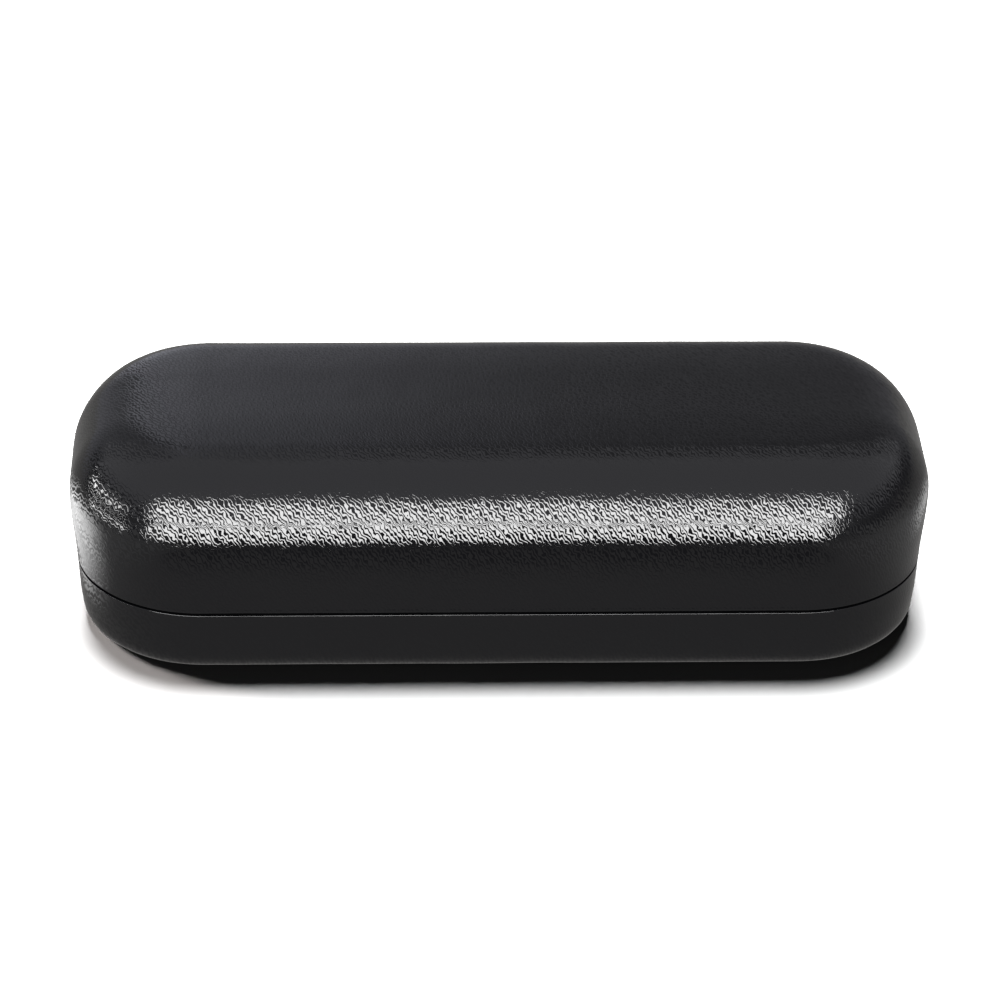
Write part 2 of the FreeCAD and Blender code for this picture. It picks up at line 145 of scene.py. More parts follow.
# Leather grain: how fast it repeats along X, Y and Z, its depth, and how its ridges' flanks lean
GRAIN_DIRECTION = (0.72, 0.48, 0.48)
GRAIN_DEPTH = 0.015
GRAIN_TILT = (0.023, 0.06, 0.105)
RIM_GRAIN = 0.2

# Small shapes of the soft goods
LID_EDGE_R = 0.2
BASE_EDGE_R = 0.1
LID_BEAD = 0.022
BEAD_REACH = 0.9
LID_LIFT = 0.5
LID_LIFT_REACH = 24.0
BASE_LIFT = 0.12
BASE_LIFT_REACH = 12.0
PLEAT_ANGLE = 7.9
PLEAT_DEPTH = 0.12
STRIP_T = 0.7
STRIP_GAP = 0.1
STRIP_HALF_WIDTH = 31.0
STRIP_RIPPLE = 0.25
STRIP_COLUMNS = 62
STRIP_EDGE = 0.8
STRIP_THIN_END = 0.35
STRIP_THIN_SIDE = 0.3
STRIP_BASE_END = 4.4
STRIP_BASE_BEND = 0.2
STRIP_LID_BEND = 2.7
STRIP_LID_END = 7.0
STRIP_BEND_R = 2.4

# Torsion springs
WIRE_R = 0.4
COIL_R = 1.7
SPRING_TURNS = 10
SPRING_LEAN = 6.5
SPRING_LEG = 3.1
SPRING_STEPS = 28
SPRING_SIDES = 12

# Stage, in metres. For every ray but the camera's the paper glows with painted light, region by region:
# painted reflections, dim in front and bright beside the ends
PAPER_ALBEDO = 0.004
PAINTED_GLOW_NEAR = (0.26, 0.255, 0.25)
PAINTED_GLOW_FRONT = (0.03, 0.03, 0.03)
PAINTED_GLOW_SIDE = (0.5, 0.5, 0.5)
PAINTED_LIGHT_LOW_LEFT = (1.8, 1.8, 1.8)
PAINTED_LIGHT_LEFT = (3.6, 3.6, 3.6)
PAINTED_LIGHT_RIGHT = (1.4, 1.4, 1.4)
FRONT_FADE = (-0.062, -0.1)
SIDE_FADE = (0.085, 0.13)
FAR_FADE = (0.15, 0.2)
FAR_SHARE = 0.35
BEHIND_FADE = (0.02, 0.055)
FLOOR_SIZE = 3.0
FLOOR_DROP = 0.0001
WARM_WHITE = (1.0, 0.93, 0.9)
# The back card's glow: painted light, dim at the right and bright at the left
CARD_GLOW_RIGHT = (0.215, 0.215, 0.23)
CARD_GLOW_LEFT = (0.74, 0.75, 0.84)
CARD_Y = 1.0
CARD_HALF_WIDTH = 1.4
CARD_HEIGHT = 2.2
ROOM_LOW = (0.1, 0.1, 0.11)
ROOM_HIGH = (0.7, 0.7, 0.74)
ROOM_RISE = (0.16, 0.36)

# A painted pool of light on the floor beside one end of the case, seen only in reflections and bounced light:
# side -1 is left and 1 right, it starts at Y front and reaches from near to far along X
PaintedLightPatch = namedtuple("PaintedLightPatch", "side front near far colour")
PAINTED_LIGHT_PATCHES = (
    PaintedLightPatch(-1, -0.025, 0.085, 0.1, PAINTED_LIGHT_LOW_LEFT),
    PaintedLightPatch(-1, -0.025, 0.1, 0.14, PAINTED_LIGHT_LEFT),
    PaintedLightPatch(1, 0.0, 0.1, 0.13, PAINTED_LIGHT_RIGHT),
)
PATCH_NEAR_FADE = 0.008
PATCH_FAR_FADE = 0.02
PATCH_FRONT_FADE = 0.03


# Cross-sections: rho is the distance from a corner's axis, height the distance from the seam


class Half:
    """One half of the case: its draft, shoulder and crown, as in the frame."""

    def __init__(self, up, depth, draft, shoulder_r, crown_r):
        self.up = up
        self.depth = depth
        self.draft = math.radians(draft)
        self.shoulder_r = shoulder_r
        self.crown_r = crown_r
        self.centre = self.shoulder_centre()

    def shoulder_centre(self):
        """Centre of the shoulder's arc, which touches the wall and the crown."""
        sine, cosine, radius = math.sin(self.draft), math.cos(self.draft), self.shoulder_r
        if self.crown_r is None:
            rise = (self.depth - radius + radius * sine) / cosine
        else:
            rho = CORNER_R - radius * cosine
            height = self.crown_r - self.depth - radius * sine
            along = height * cosine - rho * sine
            reach = self.crown_r - radius
            rise = -along + math.sqrt(along**2 - rho**2 - height**2 + reach**2)
        return Vector((CORNER_R - rise * sine - radius * cosine, rise * cosine - radius * sine))

    def wall(self, inset, height):
        """Point on the wall at a height; below the seam the wall is upright."""
        lean = max(height, 0.0) * math.tan(self.draft)
        return Vector((CORNER_R - lean - inset / math.cos(self.draft), height))

    def skin(self, inset, start, step):
        """Points of a skin face from its wall at the start height to rho 0, about a step apart."""
        radius = self.shoulder_r - inset
        towards = Vector((0.0, 1.0))
        if self.crown_r:
            towards = (self.centre - Vector((0.0, self.depth - self.crown_r))).normalized()
        end_angle = math.atan2(towards.y, towards.x)
        tangent = self.centre + radius * Vector((math.cos(self.draft), math.sin(self.draft)))
        points = between(self.wall(inset, start), tangent, step)
        count = max(4, round(radius * (end_angle - self.draft) / step))
        for i in range(1, count + 1):
            angle = self.draft + (end_angle - self.draft) * i / count
            points.append(self.centre + radius * Vector((math.cos(angle), math.sin(angle))))
        shoulder_end = points[-1]
        if self.crown_r is None:
            return points + between(shoulder_end, Vector((0.0, self.depth - inset)), step)[1:]
        crown = self.crown_r - inset
        count = max(4, round(shoulder_end.x / step))
        for i in range(1, count + 1):
            angle = end_angle + (math.pi / 2 - end_angle) * i / count
            rho = crown * math.cos(angle)
            points.append(Vector((rho, self.depth - self.crown_r + crown * math.sin(angle))))
        return points


def between(start, end, step):
    """Evenly spaced points from start to end, both included."""
    count = max(1, round((end - start).length / step))
    return [start.lerp(end, i / count) for i in range(count + 1)]


def rounded(before, corner, after, radius, count):
    """Points of the rounding of one corner."""
    one = (before - corner).normalized()
    two = (after - corner).normalized()
    bisector = (one + two).normalized()
    cosine = one.dot(bisector)
    sine = math.sqrt(1 - cosine**2)
    start = corner + one * radius * cosine / sine
    end = corner + two * radius * cosine / sine
    centre = corner + bisector * radius / sine
    first, last = start - centre, end - centre
    turn = math.acos(max(-1.0, min(1.0, first.dot(last) / radius**2)))
    points = []
    for i in range(count + 1):
        share = i / count
        blend = first * math.sin((1 - share) * turn) + last * math.sin(share * turn)
        points.append(centre + blend / math.sin(turn))
    return points


LID = Half(1, LID_DEPTH, LID_DRAFT, LID_SHOULDER_R, LID_CROWN_R)
BASE = Half(-1, BASE_DEPTH, BASE_DRAFT, BASE_SHOULDER_R, None)
TRAY = Half(-1, BASE_DEPTH, BASE_DRAFT, TRAY_SHOULDER_R, None)


# Stations round the plan outline


def side_positions():
    """X positions along the rear and front sides, close together at the window's ends."""
    start = WINDOW_HALF_WIDTH - WINDOW_R
    bend = [start + WINDOW_R * math.sin(math.radians(a)) for a in (0, 22, 42, 58, 72, 82, 90)]
    drop = [WINDOW_HALF_WIDTH + gap for gap in (0.06, 0.15, 0.3, 0.6, 1.2)]
    outer = [p.x for p in between(Vector((drop[-1], 0)), Vector((CORNER_X, 0)), SIDE_STEP)][1:]
    inner = [p.x for p in between(Vector((0, 0)), Vector((start, 0)), SIDE_STEP)][:-1]
    half = inner + bend + drop + outer
    return sorted({-x for x in half} | set(half), reverse=True)


def stations():
    """(centre x, centre y, outward x, outward y) all the way round, from +X counterclockwise."""
    xs = side_positions()
    ys = [p.x for p in between(Vector((CORNER_Y, 0)), Vector((-CORNER_Y, 0)), SIDE_STEP)]
    ring = []

    def corner(x, y, start):
        for i in range(CORNER_STEPS + 1):
            angle = math.radians(start + 90 * i / CORNER_STEPS)
            ring.append((x, y, math.cos(angle), math.sin(angle)))

    corner(CORNER_X, CORNER_Y, 0)
    ring.extend((x, CORNER_Y, 0.0, 1.0) for x in xs[1:-1])
    corner(-CORNER_X, CORNER_Y, 90)
    ring.extend((-CORNER_X, y, -1.0, 0.0) for y in ys[1:-1])
    corner(-CORNER_X, -CORNER_Y, 180)
    ring.extend((x, -CORNER_Y, 0.0, -1.0) for x in xs[-2:0:-1])
    corner(CORNER_X, -CORNER_Y, 270)
    ring.extend((CORNER_X, y, 1.0, 0.0) for y in ys[-2:0:-1])
    return ring, xs, ys


RING, XS, YS = stations()


def in_window(station):
    """Whether a station is inside the hinge window, in the middle of the rear side."""
    x, _, _, out_y = station
    return out_y > 0.999 and abs(x) <= WINDOW_HALF_WIDTH + 1e-6


def window_rim(station):
    """Height of the leather's edge at a station: the rim, or the window's rounded head."""
    if not in_window(station):
        return RIM
    past = abs(station[0]) - (WINDOW_HALF_WIDTH - WINDOW_R)
    if past <= 0:
        return WINDOW_HEIGHT
    return WINDOW_HEIGHT - WINDOW_R + math.sqrt(max(WINDOW_R**2 - past**2, 0.0))


# Meshes


def link(name, mesh):
    """Makes a smooth-shaded object of a bmesh."""
    bmesh.ops.recalc_face_normals(mesh, faces=mesh.faces)
    data = bpy.data.meshes.new(name)
    mesh.to_mesh(data)
    mesh.free()
    for polygon in data.polygons:
        polygon.use_smooth = True
    piece = bpy.data.objects.new(name, data)
    bpy.context.scene.collection.objects.link(piece)
    return piece


def spot(half, station, point):
    """Place in the scene of a section point at a station."""
    x, y, out_x, out_y = station
    return Vector((x + out_x * point.x, y + out_y * point.x, SEAM_Z + half.up * point.y)) * MM


def carried_mesh(name, half, profile):
    """Carries profile(station), a list of points from rho 0 to rho 0, round the outline."""
    mesh = bmesh.new()
    columns = []
    for station in RING:
        columns.append([mesh.verts.new(spot(half, station, p)) for p in profile(station)])
    for one, two in zip(columns, columns[1:] + columns[:1]):
        for i in range(len(one) - 1):
            mesh.faces.new((one[i], two[i], two[i + 1], one[i + 1]))
    for end in (0, -1):
        z = columns[0][end].co.z
        grid = [[mesh.verts.new((x * MM, y * MM, z)) for y in YS] for x in XS]
        for one, two in zip(grid, grid[1:]):
            for i in range(len(YS) - 1):
                mesh.faces.new((one[i], two[i], two[i + 1], one[i + 1]))
    bmesh.ops.remove_doubles(mesh, verts=mesh.verts, dist=1e-7)
    return link(name, mesh)


# Pieces that are carried round the outline


def spread(start, end, count):
    """Count points strictly between start and end."""
    return [start.lerp(end, (i + 1) / (count + 1)) for i in range(count)]


# How the foam lifts a cover: the height and reach of its swell, the bead at its rim and the
# rounding of the rim's edge
Padding = namedtuple("Padding", "lift reach bead edge_r")


def puff(distance, amount, reach):
    """How far padding lifts the leather, at a distance up from the seam."""
    if distance >= reach:
        return 0.0
    return amount * (0.5 - 0.5 * math.cos(2 * math.pi * distance / reach))


def puffed_skin(points, amount, reach):
    """A skin's points, lifted outwards by the padding."""
    lifted = []
    distance = points[0].y
    for i, point in enumerate(points):
        before, after = points[max(i - 1, 0)], points[min(i + 1, len(points) - 1)]
        along = (after - before).normalized()
        lift = puff(distance, amount, reach)
        lifted.append(point + lift * Vector((along.y, -along.x)))
        distance += (after - point).length
    return lifted


def pleat(station):
    """Depth of the small gathers where the turned-in leather goes round a corner, 0 to 1."""
    _, _, out_x, out_y = station
    if min(abs(out_x), abs(out_y)) < 1e-6:
        return 0.0
    angle = math.atan2(abs(out_y), abs(out_x))
    gather = 0.5 - 0.5 * math.cos(angle * 360 / PLEAT_ANGLE)
    return math.sin(2 * angle) * gather


def cover_profile(half, flap_end, padding):
    """Leather from the crown's inside, down behind the shell, round the rim and over the outside."""
    inner_skin = half.skin(LEATHER_T, ABOVE_WINDOW, HIDDEN_STEP)[::-1]
    outer_skin = puffed_skin(half.skin(0.0, ABOVE_WINDOW, LEATHER_STEP), padding.lift, padding.reach)

    def profile(station):
        rim = window_rim(station)
        fold = rim + LEATHER_T
        behind = FLAP_IN - GLUE
        if in_window(station):
            inner, flap = behind, fold + FLAP_STUB
        else:
            inner, flap = FLAP_OUT, flap_end
        top_out, top_in = half.wall(0.0, ABOVE_WINDOW), half.wall(inner, ABOVE_WINDOW)
        outer_corner = half.wall(0.0, rim)
        inner_corner = half.wall(inner, rim + PLEAT_DEPTH * pleat(station))
        outer_round = rounded(top_out, outer_corner, inner_corner, padding.edge_r, 7)
        inner_round = rounded(outer_corner, inner_corner, top_in, RIM_R, 7)
        bead_end = half.wall(0.0, rim + BEAD_REACH)
        outside = outer_round[::-1] + spread(outer_round[0], bead_end, 7) + [bead_end]
        outside += spread(bead_end, top_out, 4)
        for point in outside:
            point.x += puff(point.y, padding.lift, padding.reach)
            point.x += puff(point.y - rim, padding.bead, BEAD_REACH)
        points = inner_skin + spread(inner_skin[-1], half.wall(LEATHER_T, fold), 2)
        points += [half.wall(LEATHER_T, fold), half.wall(behind, fold), half.wall(behind, flap)]
        points += [half.wall(inner - FLAP_SLOPE, flap)] + spread(half.wall(inner, flap), inner_round[-1], 4)
        return points + inner_round[::-1] + outside + outer_skin

    return profile


def layer_profile(half, outer, inner, start):
    """A padding skin between two insets, from just above the folded leather to the crown."""
    inner_skin = half.skin(inner, ABOVE_WINDOW, HIDDEN_STEP)[::-1]
    outer_skin = half.skin(outer, ABOVE_WINDOW, HIDDEN_STEP)

    def profile(station):
        foot = start + window_rim(station) - RIM
        down = spread(inner_skin[-1], half.wall(inner, foot), 1)
        up = spread(half.wall(outer, foot), outer_skin[0], 1)
        return inner_skin + down + [half.wall(inner, foot), half.wall(outer, foot)] + up + outer_skin

    return profile


def lid_velvet_profile():
    """Velvet inside the lid, turned out under the tray to the leather at the rim."""
    outer, inner = LID_VELVET
    foot_out = FLAP_OUT + GLUE
    foot_back = [LID.wall(outer, VELVET_RIM + FOOT_T), LID.wall(foot_out, VELVET_RIM + FOOT_T)]
    foot = LID.wall(foot_out, VELVET_RIM)
    turn = LID.wall(inner, LID_VELVET_TURN)
    corner = rounded(foot, LID.wall(inner, VELVET_RIM), turn, LID_VELVET_R, 5)
    outer_skin = LID.skin(outer, LID_VELVET_TURN, HIDDEN_STEP)
    inner_skin = LID.skin(inner, LID_VELVET_TURN, VELVET_STEP)
    points = outer_skin[::-1] + foot_back + [foot] + corner + inner_skin
    return lambda station: points


def lip_height(station):
    """How far the locating lip stands above the seam; it stops at the rear, where the strip passes."""
    x, _, _, out_y = station
    if out_y < 0.999:
        return LIP_TOP
    past = (abs(x) - LIP_BREAK) / LIP_RUN_OUT
    share = min(max(past, 0.0), 1.0)
    return -VELVET_RIM + (LIP_TOP + VELVET_RIM) * share * share * (3 - 2 * share)


def base_velvet_profile():
    """Velvet inside the tray, over its lip and out across its flange to the leather."""
    outer, inner = BASE_VELVET
    lip_out, lip_in = LIP_VELVET
    foot_out = FLAP_OUT + GLUE
    outer_skin = TRAY.skin(outer, BASE_VELVET_TURN, HIDDEN_STEP)[::-1]
    inner_skin = TRAY.skin(inner, BASE_VELVET_TURN, VELVET_STEP)
    down = Vector((0.0, 1.0))

    def profile(station):
        top = -lip_height(station)
        under = min(top + LIP_VELVET_T, BASE_FOOT)
        foot, lip_foot = TRAY.wall(foot_out, VELVET_RIM), TRAY.wall(lip_out, VELVET_RIM)
        lip_top_out, lip_top_in = TRAY.wall(lip_out, top), TRAY.wall(inner, top)
        points = outer_skin + [TRAY.wall(outer, under), TRAY.wall(lip_in, under)]
        points += [TRAY.wall(lip_in, BASE_FOOT), TRAY.wall(foot_out, BASE_FOOT), foot]
        points += spread(foot, lip_foot, 1) + [lip_foot]
        points += spread(lip_foot, lip_top_out + down * LIP_R, 2)
        points += rounded(lip_top_out + down, lip_top_out, lip_top_in, LIP_R, 4)
        points += rounded(lip_top_out, lip_top_in, lip_top_in + down, LIP_R, 4)
        return points + spread(lip_top_in + down * LIP_R, inner_skin[0], 3) + inner_skin

    return profile


def base_foam_profile():
    """Foam between shell and tray, stepped round the turned-in leather."""
    tray_side = BASE_TRAY_IN - GLUE
    flap_side = FLAP_OUT + GLUE
    skin_out = BASE.skin(FLAP_IN, BASE_FOAM_STEP, HIDDEN_STEP)
    skin_in = TRAY.skin(tray_side, BASE_FOAM_STEP, HIDDEN_STEP)
    top_in = TRAY.wall(tray_side, BASE_FOAM_TOP)
    points = skin_in[::-1] + spread(skin_in[0], top_in, 2) + [top_in]
    points += [BASE.wall(flap_side, BASE_FOAM_TOP), BASE.wall(flap_side, BASE_FOAM_STEP)]
    points += skin_out
    return lambda station: points


def crown_pad_profile():
    """Foam sheet under the crown only."""
    reach = LID.centre.x
    outer = [p for p in LID.skin(FLAP_IN, RIM, PAD_STEP) if p.x < reach]
    inner = [p for p in LID.skin(CROWN_PAD_IN, RIM, PAD_STEP) if p.x < reach]
    points = inner[::-1] + outer
    return lambda station: points


def uneven(piece, layers):
    """Moves each vertex along its normal by soft noise: layers are (height, size) pairs in millimetres."""
    normals = [vertex.normal.copy() for vertex in piece.data.vertices]
    for vertex, normal in zip(piece.data.vertices, normals):
        place = vertex.co / MM
        lift = sum(height * noise.noise(place / size) for height, size in layers)
        vertex.co += normal * lift * MM
    piece.data.update()


# The hinge strip and the springs


def strip_path():
    """Centre line (y, z) of the hinge strip, from the base lining up to the lid lining."""
    stand_off = STRIP_GAP + STRIP_T / 2

    def at(half, lining, height):
        point = half.wall(lining[1] + stand_off, height)
        return Vector((CORNER_Y + point.x, SEAM_Z + half.up * height))

    base_end, base_bend = at(BASE, BASE_VELVET, STRIP_BASE_END), at(BASE, BASE_VELVET, STRIP_BASE_BEND)
    lid_bend, lid_end = at(LID, LID_VELVET, STRIP_LID_BEND), at(LID, LID_VELVET, STRIP_LID_END)
    first = rounded(base_end, base_bend, lid_bend, STRIP_BEND_R, 6)
    second = rounded(base_bend, lid_bend, lid_end, STRIP_BEND_R, 6)
    path = between(base_end, first[0], 0.5)[:-1] + first
    path += between(first[-1], second[0], 0.4)[1:-1] + second
    return path + between(second[-1], lid_end, 0.5)[1:]


def hinge_strip():
    """Closed strip of velvet: two faces swept along X, with thin rounded edges and soft ripples."""
    path = strip_path()
    mesh = bmesh.new()
    count = STRIP_COLUMNS
    rows = []
    for i, point in enumerate(path):
        before, after = path[max(i - 1, 0)], path[min(i + 1, len(path) - 1)]
        along = (after - before).normalized()
        side = Vector((-along.y, along.x))
        from_end = min(1.0, min(i, len(path) - 1 - i) / 2)
        half_thick = STRIP_T / 2 * (STRIP_THIN_END + (1 - STRIP_THIN_END) * from_end)
        ring = []
        for face in (1, -1):
            columns = range(count + 1) if face > 0 else range(count, -1, -1)
            for column in columns:
                x = (2 * column / count - 1) * STRIP_HALF_WIDTH
                edge = min(1.0, (STRIP_HALF_WIDTH - abs(x)) / STRIP_EDGE)
                ripple = STRIP_RIPPLE * noise.noise(Vector((x / 3.2, i / 9, 4.0))) * edge
                thick = half_thick * (STRIP_THIN_SIDE + (1 - STRIP_THIN_SIDE) * math.sqrt(edge))
                y, z = point + side * (face * thick + ripple)
                ring.append(mesh.verts.new(Vector((x, y, z)) * MM))
        rows.append(ring)
    for one, two in zip(rows, rows[1:]):
        for i in range(len(one)):
            j = (i + 1) % len(one)
            mesh.faces.new((one[i], two[i], two[j], one[j]))
    for ring in (rows[0], rows[-1]):
        for i in range(count):
            mesh.faces.new((ring[i], ring[i + 1], ring[-2 - i], ring[-1 - i]))
    return link("hinge_strip", mesh)


def tube(name, path, radius, sides):
    """A round wire along a path of points, closed at both ends."""
    mesh = bmesh.new()
    rings = []
    normal = None
    for i, point in enumerate(path):
        along = (path[min(i + 1, len(path) - 1)] - path[max(i - 1, 0)]).normalized()
        if normal is None:
            normal = along.orthogonal().normalized()
        normal = (normal - along * normal.dot(along)).normalized()
        across = along.cross(normal)
        ring = []
        for k in range(sides):
            angle = 2 * math.pi * k / sides
            outward = normal * math.cos(angle) + across * math.sin(angle)
            ring.append(mesh.verts.new((point + radius * outward) * MM))
        rings.append(ring)
    for one, two in zip(rings, rings[1:]):
        for k in range(sides):
            m = (k + 1) % sides
            mesh.faces.new((one[k], two[k], two[m], one[m]))
    mesh.faces.new(rings[0])
    mesh.faces.new(rings[-1])
    return link(name, mesh)


def spring_path(side):
    """Base leg, coil round the pin and lid leg; side is 1 for the right spring and -1 for the left."""
    low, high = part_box("hinge_spring_right")
    start_x, end_x = low.x / MM + WIRE_R, high.x / MM - WIRE_R
    first, last = SPRING_LEAN, 360 * SPRING_TURNS - SPRING_LEAN
    steps = SPRING_TURNS * SPRING_STEPS
    coil = []
    for i in range(steps + 1):
        angle = math.radians(first + (last - first) * i / steps)
        x = start_x + (end_x - start_x) * i / steps
        coil.append(Vector((x, HINGE.y - COIL_R * math.cos(angle), SEAM_Z + COIL_R * math.sin(angle))))
    foot = coil[0] + (coil[0] - coil[1]).normalized() * SPRING_LEG
    hand = coil[-1] + (coil[-1] - coil[-2]).normalized() * SPRING_LEG
    path = between(foot, coil[0], 0.5)[:-1] + coil + between(coil[-1], hand, 0.5)[1:]
    return [Vector((side * p.x, p.y, p.z)) for p in path]


# Materials

# The part of a noise's range that holds most of its values
MIDDLE = (0.35, 0.65)


def new_material(name, colour, roughness, metallic=0.0):
    """A principled material, with its node tree and its object coordinates in millimetres."""
    material = bpy.data.materials.new(name)
    material.use_nodes = True
    tree = material.node_tree
    shader = tree.nodes["Principled BSDF"]
    shader.inputs["Base Color"].default_value = (*colour, 1)
    shader.inputs["Roughness"].default_value = roughness
    shader.inputs["Metallic"].default_value = metallic
    coordinates = tree.nodes.new("ShaderNodeTexCoord")
    scale = tree.nodes.new("ShaderNodeMapping")
    scale.inputs["Scale"].default_value = (1 / MM, 1 / MM, 1 / MM)
    tree.links.new(coordinates.outputs["Object"], scale.inputs["Vector"])
    return material, tree, shader, scale.outputs["Vector"]


def noise_texture(tree, place, scale, detail=2.0, roughness=0.5):
    """Soft noise, scale cells to the millimetre."""
    node = tree.nodes.new("ShaderNodeTexNoise")
    node.inputs["Scale"].default_value = scale
    node.inputs["Detail"].default_value = detail
    node.inputs["Roughness"].default_value = roughness
    tree.links.new(place, node.inputs["Vector"])
    return node.outputs["Fac"]


def remap(tree, value, source, target=(0.0, 1.0)):
    """Turns the source range into the target range, smoothly, and holds the ends beyond it."""
    node = tree.nodes.new("ShaderNodeMapRange")
    node.interpolation_type = "SMOOTHSTEP"
    for name, number in zip(("From Min", "From Max", "To Min", "To Max"), source + target):
        node.inputs[name].default_value = number
    tree.links.new(value, node.inputs["Value"])
    return node.outputs["Result"]


def math_node(tree, operation, *values):
    """One sum on values that are numbers or sockets."""
    node = tree.nodes.new("ShaderNodeMath")
    node.operation = operation
    for socket, value in zip(node.inputs, values):
        if isinstance(value, (int, float)):
            socket.default_value = value
        else:
            tree.links.new(value, socket)
    return node.outputs["Value"]


def multiply(tree, *values):
    """The product of two or more values."""
    product = values[0]
    for value in values[1:]:
        product = math_node(tree, "MULTIPLY", product, value)
    return product


def mix_colour(tree, factor, low, high):
    """Mixes two colours, each given as three numbers or as a socket."""
    node = tree.nodes.new("ShaderNodeMix")
    node.data_type = "RGBA"
    for name, colour in (("A", low), ("B", high)):
        socket = [entry for entry in node.inputs if entry.name == name and entry.type == "RGBA"][0]
        if isinstance(colour, tuple):
            socket.default_value = (*colour, 1)
        else:
            tree.links.new(colour, socket)
    tree.links.new(factor, node.inputs[0])
    return [entry for entry in node.outputs if entry.type == "RGBA"][0]


def add_bump(tree, shader, height, distance):
    """Fine relief, distance millimetres deep; returns its bump node."""
    node = tree.nodes.new("ShaderNodeBump")
    node.inputs["Distance"].default_value = distance * MM
    node.inputs["Strength"].default_value = 1.0
    tree.links.new(height, node.inputs["Height"])
    tree.links.new(node.outputs["Normal"], shader.inputs["Normal"])
    return node


def tilt_ridges(tree, shader, normal, side):
    """Leans a normal up where side is +1 and down where it is -1: the two flanks of a ridge."""
    lean = tree.nodes.new("ShaderNodeVectorTransform")
    lean.vector_type = "VECTOR"
    lean.convert_from, lean.convert_to = "OBJECT", "WORLD"
    lean.inputs["Vector"].default_value = GRAIN_TILT
    scaled = tree.nodes.new("ShaderNodeVectorMath")
    scaled.operation = "MULTIPLY_ADD"
    tree.links.new(lean.outputs["Vector"], scaled.inputs[0])
    tree.links.new(side, scaled.inputs[1])
    tree.links.new(normal, scaled.inputs[2])
    unit_length = tree.nodes.new("ShaderNodeVectorMath")
    unit_length.operation = "NORMALIZE"
    tree.links.new(scaled.outputs["Vector"], unit_length.inputs[0])
    tree.links.new(unit_length.outputs["Vector"], shader.inputs["Normal"])


def grain_ridges(tree, place):
    """Short worm-like ridges that run down to the right: 0 in the grooves, 1 on the ridges."""
    slant = tree.nodes.new("ShaderNodeMapping")
    slant.inputs["Scale"].default_value = GRAIN_DIRECTION
    tree.links.new(place, slant.inputs["Vector"])
    wave = tree.nodes.new("ShaderNodeTexWave")
    wave.wave_type = "BANDS"
    wave.bands_direction = "DIAGONAL"
    wave.inputs["Scale"].default_value = 1.0
    wave.inputs["Distortion"].default_value = 6.0
    wave.inputs["Detail"].default_value = 0.5
    wave.inputs["Detail Scale"].default_value = 2.1
    tree.links.new(slant.outputs["Vector"], wave.inputs["Vector"])
    return wave.outputs["Fac"]


def leather():
    """Black leatherette: a fine grain that varies in strength and is pressed flat at the rim."""
    material, tree, shader, place = new_material("black_leatherette", (0.0016, 0.0016, 0.0019), 0.1)
    ridge = grain_ridges(tree, place)
    clumps = noise_texture(tree, place, 0.16)
    height = tree.nodes.new("ShaderNodeSeparateXYZ")
    tree.links.new(place, height.inputs["Vector"])
    from_seam = math_node(tree, "ABSOLUTE", math_node(tree, "SUBTRACT", height.outputs["Z"], SEAM_Z))
    pressed = remap(tree, from_seam, (RIM, RIM + RIM_R), (RIM_GRAIN, 1.0))
    strength = multiply(tree, remap(tree, clumps, MIDDLE, (0.9, 1.05)), pressed)
    bump = add_bump(tree, shader, ridge, GRAIN_DEPTH)
    tree.links.new(strength, bump.inputs["Strength"])
    flank = multiply(tree, strength, remap(tree, ridge, (0.25, 0.75), (-1.0, 1.0)))
    tilt_ridges(tree, shader, bump.outputs["Normal"], flank)
    return material


def velvet():
    """Short black pile: a soft sheen, brushed patches and a fine fibre grain."""
    material, tree, shader, place = new_material("velvet", (0.012, 0.012, 0.014), 0.95)
    shader.inputs["Specular IOR Level"].default_value = 0.15
    shader.inputs["Sheen Weight"].default_value = 0.55
    shader.inputs["Sheen Roughness"].default_value = 0.35
    shader.inputs["Sheen Tint"].default_value = (0.75, 0.78, 0.85, 1)
    patches = noise_texture(tree, place, 0.07, 3.0)
    fibres = noise_texture(tree, place, 5.5, 2.0, 0.7)
    mixed = math_node(tree, "ADD", multiply(tree, patches, 0.6), multiply(tree, fibres, 0.4))
    shade = remap(tree, mixed, MIDDLE)
    colour = mix_colour(tree, shade, (0.006, 0.006, 0.007), (0.024, 0.024, 0.027))
    tree.links.new(colour, shader.inputs["Base Color"])
    add_bump(tree, shader, fibres, 0.05)
    return material


def foam():
    """Open-cell foam: small round cells, with painted shade that darkens their pits."""
    material, tree, shader, place = new_material("cell_foam", (0.03, 0.03, 0.032), 0.9)
    cells = tree.nodes.new("ShaderNodeTexVoronoi")
    cells.inputs["Scale"].default_value = 2.6
    tree.links.new(place, cells.inputs["Vector"])
    depth = cells.outputs["Distance"]
    add_bump(tree, shader, depth, 0.15)
    # Painted shade: the colour is darker in the cells' pits, where the relief is low
    colour = mix_colour(tree, depth, (0.015, 0.015, 0.016), (0.06, 0.06, 0.062))
    tree.links.new(colour, shader.inputs["Base Color"])
    return material


def steel(name, colour, roughness, grain):
    """Rolled or drawn steel: fine lines stretched along X, with cloudy plating."""
    material, tree, shader, place = new_material(name, colour, roughness, 1.0)
    stretch = tree.nodes.new("ShaderNodeMapping")
    stretch.inputs["Scale"].default_value = (0.08, 1.0, 1.0)
    tree.links.new(place, stretch.inputs["Vector"])
    lines = noise_texture(tree, stretch.outputs["Vector"], grain, 3.0)
    clouds = noise_texture(tree, place, 0.5, 3.0)
    dark = tuple(0.72 * channel for channel in colour)
    plating = mix_colour(tree, remap(tree, clouds, MIDDLE), dark, colour)
    tree.links.new(plating, shader.inputs["Base Color"])
    scuffs = remap(tree, lines, (0.3, 0.7), (roughness * 0.7, roughness * 1.35))
    tree.links.new(scuffs, shader.inputs["Roughness"])
    add_bump(tree, shader, lines, 0.012)
    return material


